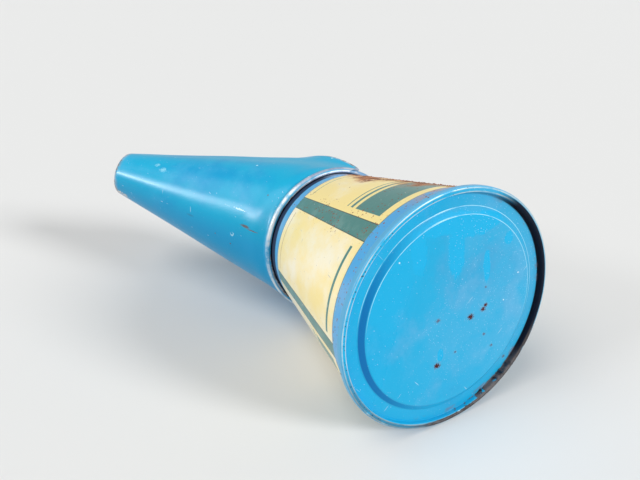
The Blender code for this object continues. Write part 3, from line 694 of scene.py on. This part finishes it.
# Crumbs of scale stand on the rust's column
draw = random.Random(5)
ball = bmesh.new()
bmesh.ops.create_icosphere(ball, subdivisions=1, radius=1)
lump = [vertex.co.copy() for vertex in ball.verts]
lump_faces = [[vertex.index for vertex in face.verts] for face in ball.faces]
ball.free()
points, faces = [], []
for _ in range(230):
    z = SEAM_HEIGHT + 0.002 + 0.082 * draw.random() ** 1.3
    turn = radians(draw.gauss(266, 4.5))
    size = draw.uniform(0.00012, 0.00038)
    spin = Matrix.Rotation(draw.uniform(0, tau), 3, "X")
    centre = wall_radius(z) + SHEET / 2 + size * 0.15
    start = len(points)
    for corner in lump:
        corner = (spin @ corner) * size * draw.uniform(0.6, 1.3)
        x, y = centre + corner.x * 0.7, corner.y
        points.append((x * cos(turn) - y * sin(turn), x * sin(turn) + y * cos(turn), z + corner.z))
    faces += [[start + index for index in face] for face in lump_faces]
crust = Finish("rust_crust", (0.42, 0.17, 0.06), 0.9)
crust.layer(crust.patchy(500, 0.46, 0.1), (0.16, 0.055, 0.025), 0.95)
crust.layer(crust.specked(900, 0.3, 0.4), (0.6, 0.32, 0.14), 0.9)
scale_crumbs = new_piece("rust_crumbs", points, faces, crust.done(0.00004), 30)
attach(scale_crumbs, "root")


# ---- Spout hood ----
# One sheet of tinplate bent into an oblique cone from the round mouth to the body's rim, painted
# blue. Its foot is dressed round the rim's roll, and behind it stands open in a hemmed arch.
MOUTH_REACH, MOUTH_RISE, MOUTH_RADIUS, MOUTH_TILT = 0.0961, 0.1064, 0.0135, radians(45)
ARCH_FOOT, ARCH_LEAN = 0.0063, radians(15)
SHOULDER_RISE, SHOULDER_SPREAD, FOOT_ROUNDING = 0.0235, 0.0027, 0.007
HEM_WIDTH, HEM_EXTRA, HEM_STEP = 0.003, 0.0006, 0.0003
SEAM_WIDTH, SEAM_RAISE = 0.006, 0.00035
WRAP_END, EDGE_CURL = radians(-95), radians(20)
SIDE_LIFT, FRONT_REACH, SIDE_REACH = radians(4), 0.006, 0.025
NIP_DEPTH, NIP_RISE, NIP_REACH = 0.001, 0.002, 0.011
FOOT_ANGLE, SHOULDER_ANGLE = radians(82), radians(96)
RIM_COLUMNS, LEG_COLUMNS, CROWN_COLUMNS, SEAM_COLUMNS = 56, 24, 36, 8
SHEET_STEPS, HEM_STEPS, CURL_STEPS = 40, 6, 12
LIP_WEAR, HEM_WEAR, BEAD_WEAR_AND_HIGHLIGHT, HOOD_WAVE = 0.0022, 0.0016, 0.0019, 0.0003


def mouth_point(angle):
    """A place on the mouth's circle, at an angle from its lowest."""
    up = Vector((sin(MOUTH_TILT), 0, cos(MOUTH_TILT)))
    turn = Vector((0, 1, 0)) * sin(angle) - up * cos(angle)
    return Vector((-MOUTH_REACH, 0, RIM_HEIGHT + MOUTH_RISE)) + MOUTH_RADIUS * turn


lowest = mouth_point(0)
front_run, front_rise = -lowest.x - RIM_RADIUS, lowest.z - RIM_HEIGHT
front_lift = atan2(front_rise, front_run) - acos(wrap_radius / hypot(front_run, front_rise))


def rim_contact(turn):
    """The roll's centre, tangent and the hood's normal, at a turn from the front towards +Y."""
    outward = Vector((-cos(turn), sin(turn), 0))
    lift = front_lift * (1 - sin(turn)) + SIDE_LIFT * sin(turn)
    normal = outward * cos(lift) + Vector((0, 0, sin(lift)))
    tangent = Vector((sin(turn), cos(turn), 0))
    return RIM_RADIUS * outward + Vector((0, 0, RIM_HEIGHT)), tangent, normal


foot_level = RIM_HEIGHT + wrap_radius * sin(SIDE_LIFT)
foot_reach = RIM_RADIUS + wrap_radius * cos(SIDE_LIFT)
arch_width = sqrt(foot_reach ** 2 - ARCH_FOOT ** 2) + SHOULDER_SPREAD


def arch_point(across, rise, slope_across, slope_rise):
    """A place on the leaning arch behind, and the direction in which its edge runs on."""
    lean = Vector((-sin(ARCH_LEAN), 0, cos(ARCH_LEAN)))
    tangent = Vector((0, slope_across, 0)) + slope_rise * lean
    return Vector((ARCH_FOOT, across, foot_level)) + rise * lean, tangent.normalized()


def leg_point(share):
    """A place on the arch's leg, from its foot to its shoulder."""
    across = arch_width - SHOULDER_SPREAD * (1 - share) ** 2
    return arch_point(across, SHOULDER_RISE * share, 2 * SHOULDER_SPREAD * (1 - share), SHOULDER_RISE)


def crown_point(angle):
    """A place on the arch's round top, at an angle from its shoulder."""
    rise = SHOULDER_RISE + arch_width * sin(angle)
    return arch_point(arch_width * cos(angle), rise, -sin(angle), cos(angle))


def foot_point(share):
    """The rounded bend from the rim's circle up into the arch's leg."""
    centre, _, normal = rim_contact(pi / 2)
    start, corner = centre + wrap_radius * normal, leg_point(0)[0]
    end = leg_point(FOOT_ROUNDING / SHOULDER_RISE)[0]
    point = start * (1 - share) ** 2 + corner * 2 * share * (1 - share) + end * share ** 2
    return point, ((corner - start) * (1 - share) + (end - corner) * share).normalized()


def cubic(a, b, c, d, t):
    """A place on the curve from a to d that leaves towards b and comes in from c."""
    s = 1 - t
    return a * s ** 3 + b * 3 * s * s * t + c * 3 * s * t * t + d * t ** 3


def hood_columns():
    """Every line of the outer face: edge, tangent, launch, reach, mouth angle, curl, hem, raise."""
    columns = []
    for k in range(RIM_COLUMNS + 1):
        share = k / RIM_COLUMNS
        centre, tangent, normal = rim_contact(share * pi / 2)
        edge = centre + wrap_radius * normal
        angle = FOOT_ANGLE * share
        aim = mouth_point(angle) - edge
        launch = (aim - normal * aim.dot(normal)).normalized()
        curl = (asin(normal.z) - WRAP_END) * (1 - 0.65 * smooth((share - 0.93) / 0.07))
        reach = FRONT_REACH + (SIDE_REACH - FRONT_REACH) * smooth((share - 0.35) / 0.5)
        columns.append((edge, tangent, launch, reach, angle, curl, 0, 0))
    first = columns[-1][2]
    leg_start = FOOT_ROUNDING / SHOULDER_RISE
    for k in range(1, LEG_COLUMNS + 1):
        share = k / LEG_COLUMNS
        if share < leg_start:
            edge, tangent = foot_point(share / leg_start)
        else:
            edge, tangent = leg_point(share)
        angle = FOOT_ANGLE + (SHOULDER_ANGLE - FOOT_ANGLE) * share
        aim = (mouth_point(angle) - edge).normalized()
        launch = (first * (1 - share) + aim * share).normalized()
        columns.append((edge, tangent, launch, SIDE_REACH, angle, EDGE_CURL, smooth(share * 6), 0))
    seam_turn, seam_angle = asin(SEAM_WIDTH / 2 / arch_width), asin(SEAM_WIDTH / 2 / MOUTH_RADIUS)
    stops = [(k / CROWN_COLUMNS, 1, 0) for k in range(1, CROWN_COLUMNS + 1)]
    seam = [k / SEAM_COLUMNS for k in range(1, SEAM_COLUMNS + 1)]
    stops += [(1, 1 - part, SEAM_RAISE * min(1, 4 * part)) for part in seam]
    for share, aside, lift in stops:
        edge, tangent = crown_point((pi / 2 - seam_turn) * share + seam_turn * (1 - aside))
        open_angle = pi - seam_angle - SHOULDER_ANGLE
        angle = SHOULDER_ANGLE + open_angle * share + seam_angle * (1 - aside)
        launch = (mouth_point(angle) - edge).normalized()
        columns.append((edge, tangent, launch, SIDE_REACH, angle, EDGE_CURL, 1, lift))
    return columns


def hood_path(column):
    """Points down one line, each with its sheet thickness, wear and height above the wrap."""
    edge, tangent, launch, reach, angle, curl, hem, lift = column
    top = mouth_point(angle)
    length = (edge - top).length
    aim = (edge - top) / 3
    near = min(reach, length / 3)
    hem_end, step_end = HEM_WIDTH / length, (HEM_WIDTH + HEM_STEP) / length
    low_step, low_hem = [1 - width / 3 / near for width in (HEM_WIDTH + HEM_STEP, HEM_WIDTH)]
    stations = [0, hem_end / 2, hem_end]
    stations += [step_end + (low_step - step_end) * k / SHEET_STEPS for k in range(SHEET_STEPS + 1)]
    stations += [low_hem + (1 - low_hem) * k / HEM_STEPS for k in range(HEM_STEPS + 1)]
    normal = launch.cross(tangent).normalized()
    path = []
    for row, share in enumerate(stations):
        point = cubic(top, top + aim, edge + launch * near, edge, share)
        above = (point - edge).length
        press = NIP_DEPTH * (1 - hem) * smooth(above / NIP_RISE) * smooth((NIP_REACH - above) / NIP_REACH)
        point += normal * (lift - press)
        thick = SHEET + HEM_EXTRA * (hem if share >= low_hem else 1 if row <= 2 else 0)
        to_edge = (1 - share) * near * 3
        wear = max(smooth(1 - share * length / LIP_WEAR), hem * smooth(1 - to_edge / HEM_WEAR))
        path.append((point, thick, wear, (1 - hem) * smooth(1 - above / BEAD_WEAR_AND_HIGHLIGHT)))
    down = normal.cross(tangent)
    centre = edge - wrap_radius * normal
    for k in range(1, CURL_STEPS + 1):
        turn = curl * k / CURL_STEPS
        away = normal * cos(turn) + down * sin(turn)
        point = centre + wrap_radius * away + normal * lift
        wear = max(smooth((turn - 0.9) / 0.5), hem)
        path.append((point, SHEET + HEM_EXTRA * hem, wear, (1 - hem) * smooth((0.95 - turn) / 0.35)))
    return path


def relax(paths, rounds):
    """Evens out the sheet across its lines, fully in its middle and not at all near its edges."""
    sheet_rows = len(paths[0]) - CURL_STEPS
    grid = numpy.array([[station[0] for station in path[:sheet_rows]] for path in paths])
    steps = numpy.linalg.norm(numpy.diff(grid, axis=1), axis=2)
    run = numpy.concatenate([numpy.zeros((len(paths), 1)), numpy.cumsum(steps, axis=1)], axis=1)
    ease = numpy.clip((run - 0.005) / 0.02, 0, 1) * numpy.clip((run[:, -1:] - run - 0.003) / 0.015, 0, 1)
    ease[-SEAM_COLUMNS - 2:] = 0
    flip = numpy.array((1, -1, 1))
    for _ in range(rounds):
        wide = numpy.concatenate([grid[1:2] * flip, grid, grid[-1:]])
        grid = grid + (0.5 * ease)[:, :, None] * ((wide[:-2] + wide[2:]) / 2 - grid)
    for path, line in zip(paths, grid):
        for row in range(sheet_rows):
            path[row] = (Vector(line[row]), *path[row][1:])
    return paths


paths = relax([hood_path(column) for column in hood_columns()], 120)
rows = len(paths[0])
free_rows = rows - CURL_STEPS - HEM_STEPS - 1
points, details = [], []
for side, chosen in ((1, paths), (-1, paths[1:-1][::-1])):
    for path in chosen:
        for row, (point, *detail) in enumerate(path):
            point = Vector((point.x, point.y * side, point.z))
            free = smooth(row / 8) * smooth((free_rows - row) / 8)
            wave = HOOD_WAVE * free * noise.noise(point * 30)
            axis = Vector((point.x + 0.5 * (point.z - RIM_HEIGHT), point.y, 0))
            points.append(point + axis.normalized() * wave)
            details.append(detail)
thicknesses, wears, beads = zip(*details)

ALONG_SPOUT, LOW_TURN = (0, -0.81, 0), (0, -0.52, 0)
# The last pair sets where painted shade deepens the hood's lower flank
spout = blue_paint(
    "hood_paint", 0.25, [ALONG_SPOUT, (0.5, -0.6, 0), (1.4, -1.2, 0)], (0.003, 0.365, 0.59), (-0.004, 0.014))
wear, bead = [place(spout.tree, "Attribute", attribute_name=name)["Fac"] for name in ("wear", "bead")]

# Edges worn to the tin; the bead over the wire rubbed pale and painted with a near-white
# highlight; and scuffs on the foot's underside
broken, rubbed = spout.patchy(170, 0.36, 0.14), spout.patchy(90, 0.33, 0.25)
spout.layer((wear, broken), (0.46, 0.54, 0.62), 0.4, 0.15, height=-0.00002)
spout.layer((wear, spout.patchy(260, 0.48, 0.06)), (0.22, 0.19, 0.18), 0.6, 0.2)
# Painted highlight along the bead, over its rubbed paint
spout.layer((bead, rubbed), (0.76, 0.82, 0.86), 0.24, 0.2)
near_rim = spout.fade(spout.xyz[2], 0.1075, 0.1045)
foot_zone = spout.most(spout.fade(bead, 0, 0.5), spout.times(wear, near_rim))
scuffed = spout.times(foot_zone, spout.fade(spout.xyz[1], -0.022, -0.032))
spout.layer(scuffed, (0.23, 0.31, 0.46), 0.36, 0.2)
spout.layer((scuffed, broken, rubbed), (0.46, 0.51, 0.59), 0.36, 0.3)

# Flakes, the long ones on the spout's highlight line partly painted highlight; a ring left by
# a drop, brown bruises, a smear, and the lip's bare patch
placed = partial(spout.marks, turn=ALONG_SPOUT)
flakes_and_glints = placed([
    (-53.3, -6.2, 119.6, 2.5, 0.6, 5.2), (-42.3, -30, 134.7, 0.7, 0.7, 0.7),
    (-1.3, -44.3, 124.2, 0.8, 0.8, 0.8)
], Ragged=0.55, Soft=0.5)
spout.layer(flakes_and_glints, (0.43, 0.72, 0.83), 0.4, height=-0.00001)
thin_flakes_and_glints = placed([
    (-84.1, -12.1, 172.1, 2.4, 2.4, 3), (-86.5, -13.7, 178, 1.8, 1.6, 2.2), (-58.5, -6, 126.2, 2.5, 0.6, 3)
], Ragged=0.5, Soft=0.9, Grain=900)
spout.layer((thin_flakes_and_glints, 0.8), (0.25, 0.62, 0.77), 0.4)
ring_mark = placed([(-53.5, 8.7, 121.4, 3, 1.3, 1.3)], Ragged=0.3)
ring_hole = placed([(-53.5, 8.3, 121.7, 3, 0.8, 0.8)], Ragged=0.3)
ring_line = spout.fade(spout.calc("SUBTRACT", ring_mark, ring_hole), 0, 1)
spout.layer(ring_line, (0.3, 0.6, 0.76), 0.4)
bruises = placed([
    (-50.4, 1.6, 114.1, 4, 1, 4, LOW_TURN), (-47.8, 2.6, 109.8, 4, 0.4, 5.2, LOW_TURN),
    (-43.1, -18.2, 110.2, 0.6, 0.6, 0.6), (-59.2, 12.1, 132, 0.5, 0.5, 0.5)
], Ragged=0.25, Soft=0.5)
spout.layer((bruises, 0.85), (0.13, 0.075, 0.06), 0.5, height=-0.00003)
smear = placed([(-70.7, 7.1, 146.9, 4, 0.8, 3.6)], Ragged=0.3, Soft=0.8)
spout.layer((smear, 0.6), (0.02, 0.18, 0.33), 0.5)
bare_lip = placed([(-100.3, 11.2, 197.8, 2.2, 1.6, 6.2)], Ragged=0.9)
spout.layer((bare_lip, broken), (0.68, 0.65, 0.62), 0.4, 0.4)
faces = closed_grid(2 * len(paths) - 2, rows)
hood = new_piece("spout_hood_sheet", points, faces, spout.done(0.00008), 50)
for name, values in (("wear", wears), ("bead", beads)):
    hood.data.attributes.new(name, "FLOAT", "POINT").data.foreach_set("value", values)
group = hood.vertex_groups.new(name="thickness")
thickest = max(thicknesses)
for index, thick in enumerate(thicknesses):
    group.add([index], thick / thickest, "REPLACE")
thicken(hood, thickest, -1, inside_tin).vertex_group = group.name
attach(hood, "root")
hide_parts("spout_hood")


# ---- Rim wire and solder ----
# A steel wire lies in the curl of the body's rim, and a fillet of solder runs round under the
# hood where its foot is dressed over that roll.
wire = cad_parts["rim_wire"]
wire.data.materials.clear()
wire.data.materials.append(inside_tin)

lead = Finish("dull_solder", (0.36, 0.36, 0.38), 0.48, metallic=0.9)
lead.layer(lead.patchy(200, 0.45, 0.15), (0.23, 0.22, 0.22), 0.62)
lead.layer(lead.specked(500, 0.15, 0.3), (0.16, 0.08, 0.04), 0.8, 0.2)
BEAD_RADIUS, BEAD_STEPS, BEAD_SIDES, BEAD_END = 0.00036, 300, 10, 0.02
bead_out = curl_radius + SHEET / 2 + BEAD_RADIUS + 0.0001
bead_swing = radians(73)
bead_rings = []
for step in range(2 * BEAD_STEPS + 1):
    turn = (step / BEAD_STEPS - 1) * (pi / 2 - BEAD_END)
    centre, tangent, normal = rim_contact(abs(turn))
    up = tangent.cross(normal)
    centre = centre + bead_out * (normal * cos(bead_swing) + up * sin(bead_swing))
    swell = 0.8 + 0.35 * noise.noise(centre * 420) + 0.15 * noise.noise(centre * 1500)
    swell *= smooth(min(step, 2 * BEAD_STEPS - step) / 6 + 0.1)
    ring = []
    for k in range(BEAD_SIDES):
        angle = tau * k / BEAD_SIDES
        p = centre + BEAD_RADIUS * swell * (normal * cos(angle) + up * sin(angle))
        ring.append((p.x, p.y if turn > 0 else -p.y, p.z))
    bead_rings.append(ring)
solder = swept("joint_solder_bead", bead_rings, lead.done(0.00012))
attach(solder, "root")
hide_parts("joint_solder")


# ---- Strap handle ----
# A strip of heavier tinplate with its long edges hemmed over towards the hand, painted blue and
# fixed to the wall by two tabs with two rivets each.
STRAP_WIDTH, STRAP_SHEET, HEM_FOLD, HEM_RISE = 0.02, 0.0006, 0.0025, 0.0007
TAB_LENGTH, TOP_TAB_DROP, LOW_TAB_RISE, TAB_CORNER = 0.011, 0.015, 0.035, 0.0035
HANDLE_REACH, WIDEST_DROP = 0.033, 0.032
BEND_TOP, SWEEP_TOP, SWEEP_LOW, BEND_LOW, STRAP_STEPS = 0.008, 0.026, 0.022, 0.012, 40
cone_slope = atan2(seam_layers[3] - wall_top[0], wall_top[1] - seam_top)
wall_up = Vector((-sin(cone_slope), 0, cos(cone_slope)))


def seat(z):
    """A place on the wall's outside at the back."""
    return Vector((wall_radius(z) + SHEET / 2 / cos(cone_slope) + CLEARANCE, 0, z))


def strap_places():
    """Each place's point, direction, how far it follows the cone, hem share and half width."""
    top = seat(RIM_HEIGHT - TOP_TAB_DROP)
    low = seat(LOW_TAB_RISE) + Vector((STRAP_SHEET / cos(cone_slope), 0, 0))
    widest = seat(RIM_HEIGHT - WIDEST_DROP) + Vector((HANDLE_REACH, 0, 0))
    rise = Vector((0, 0, 1))
    runs = ((top, top + wall_up * BEND_TOP, widest + rise * SWEEP_TOP, widest),
            (widest, widest - rise * SWEEP_LOW, low + wall_up * BEND_LOW, low))
    tab = [TAB_CORNER * (1 - cos(pi / 2 * k / 8)) for k in range(8)]
    tab += [TAB_CORNER + (TAB_LENGTH - TAB_CORNER) * k / 5 for k in range(5)]
    ends = []
    for d in tab:
        narrow = TAB_CORNER - sqrt(max(0, TAB_CORNER ** 2 - max(0, TAB_CORNER - d) ** 2))
        ends.append((d, STRAP_WIDTH / 2 - narrow))
    places = [(top - wall_up * (TAB_LENGTH - d), wall_up, 1, 0, half) for d, half in ends]
    for run, (a, b, c, d) in enumerate(runs):
        for k in range(run, STRAP_STEPS + 1):
            share = k / STRAP_STEPS
            point = cubic(a, b, c, d, share)
            slope = cubic(a, b, c, d, share + 0.01) - cubic(a, b, c, d, share - 0.01)
            away = 3 * (1 - share if run else share)
            places.append((point, slope.normalized(), max(0, 1 - away), smooth(away), STRAP_WIDTH / 2))
    places += [(low - wall_up * (TAB_LENGTH - d), -wall_up, 1, 0, half) for d, half in ends[::-1]]
    return places


strap_rings = []
for point, slope, follow, hem_share, half in strap_places():
    to_hand = Vector((0, 1, 0)).cross(slope)
    deep = STRAP_SHEET + HEM_RISE * hem_share
    fold = half - HEM_FOLD
    side = arc((half - deep / 2, deep / 2), deep / 2, -pi / 2, pi / 2, 8)
    side += [(fold + 0.0002, deep), (fold, deep - 0.0001 * hem_share),
             (fold - 0.00005, STRAP_SHEET + 0.00002), (fold - 0.002, STRAP_SHEET)]
    section = [(0, 0), (fold, 0)] + side + [(0, STRAP_SHEET)]
    section += [(-y, h) for y, h in side[::-1]] + [(-fold, 0)]
    ring = []
    for y, h in section:
        drop = follow * (point.x - sqrt(point.x ** 2 - y ** 2))
        ring.append(point + Vector((-drop, y, 0)) + to_hand * h)
    strap_rings.append(ring)
strap = blue_paint("handle_paint", 0.5, [(0.1, 0.2, 0), (1.5, 0, 0.4)])
along_hems = strap.band(strap.calc("ABSOLUTE", strap.xyz[1]), 0.0094, 0.0101, 0.0003)
strap.layer((along_hems, strap.patchy(120, 0.46, 0.12)), (0.42, 0.43, 0.43), 0.4, 0.5)
strap.layer(strap.patchy(55, 0.64, 0.05), RUST, 0.8, height=0.00004, coat=0)
handle = swept("handle_strap_band", strap_rings, strap.done(0.00008), 35)
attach(handle, "root")
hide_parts("handle_strap")

# Each rivet is turned from its domed head, down the shank, to its tail inside the wall
RIVET_SHANK, RIVET_HEAD, RIVET_DOME, RIVET_TAIL, TAIL_BEND = 0.0012, 0.0026, 0.001, 0.002, 0.0003
RIVET_SPREAD, RIVET_SEAT, RIVET_EDGE, RIVET_POLE = 0.006, 0.0004, 0.0001, 0.00002
head_level, tail_level = SHEET / 2 + CLEARANCE + STRAP_SHEET + RIVET_SEAT, -SHEET / 2 - RIVET_SEAT
under_head = head_level - RIVET_EDGE
rivet_profile = [(RIVET_POLE, head_level + RIVET_DOME)]
for k in range(1, 13):
    angle = pi / 2 * (1 - k / 12)
    rivet_profile.append((RIVET_HEAD * cos(angle), head_level + RIVET_DOME * sin(angle)))
rivet_profile += [(RIVET_HEAD - RIVET_EDGE, under_head), (RIVET_SHANK, under_head), (RIVET_SHANK, tail_level)]
rivet_profile += arc((RIVET_TAIL - TAIL_BEND, tail_level - TAIL_BEND), TAIL_BEND, pi / 2, -pi / 2, 6)
rivet_profile.append((RIVET_POLE, tail_level - 2 * TAIL_BEND))
for level, z in (("top", RIM_HEIGHT - TOP_TAB_DROP), ("low", LOW_TAB_RISE)):
    z -= TAB_LENGTH / 2 * cos(cone_slope)
    for side, sign in (("left", 1), ("right", -1)):
        rivet = turned(f"rivet_{level}_{side}_turned", rivet_profile[::-1], inside_tin, turns=40)
        spin = Matrix.Rotation(asin(sign * RIVET_SPREAD / wall_radius(z)), 4, "Z")
        lay = Matrix.Rotation(pi / 2 - cone_slope, 4, "Y")
        rivet.data.transform(spin @ Matrix.Translation((wall_radius(z), 0, z)) @ lay)
        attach(rivet, "root")
        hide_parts(f"rivet_{level}_{side}")


# ---- Floor ----
# The jug rests on the edge of its base and on the hood's shoulder. The floor is plain and pale,
# and see-through from below so that it never hides the jug in other views.
lowest_reach = min(
    (piece.matrix_world @ vertex.co).dot(floor_up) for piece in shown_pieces() for vertex in piece.data.vertices)
ground = bpy.data.materials.new("pale_floor")
ground.use_nodes = True
tree = ground.node_tree
matte = tree.nodes["Principled BSDF"]
feed(tree, matte.inputs["Base Color"], (0.7, 0.7, 0.69))
feed(tree, matte.inputs["Roughness"], 0.9)
clear = place(tree, "BsdfTransparent")[0]
behind = place(tree, "NewGeometry")["Backfacing"]
shadow_ray = place(tree, "LightPath")["Is Shadow Ray"]
open_to = calc(tree, "MAXIMUM", behind, shadow_ray)
seen_floor = place(tree, "MixShader", {0: open_to, 1: matte.outputs[0], 2: clear})[0]
feed(tree, tree.nodes["Material Output"].inputs["Surface"], seen_floor)
bpy.ops.mesh.primitive_plane_add(size=12)
floor = bpy.context.object
floor.name = "floor"
floor.data.materials.append(ground)
floor.rotation_mode = "QUATERNION"
floor.rotation_quaternion = floor_up.to_track_quat("Z", "Y")
floor.location = floor_up * (lowest_reach - 0.0002)
floor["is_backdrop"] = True
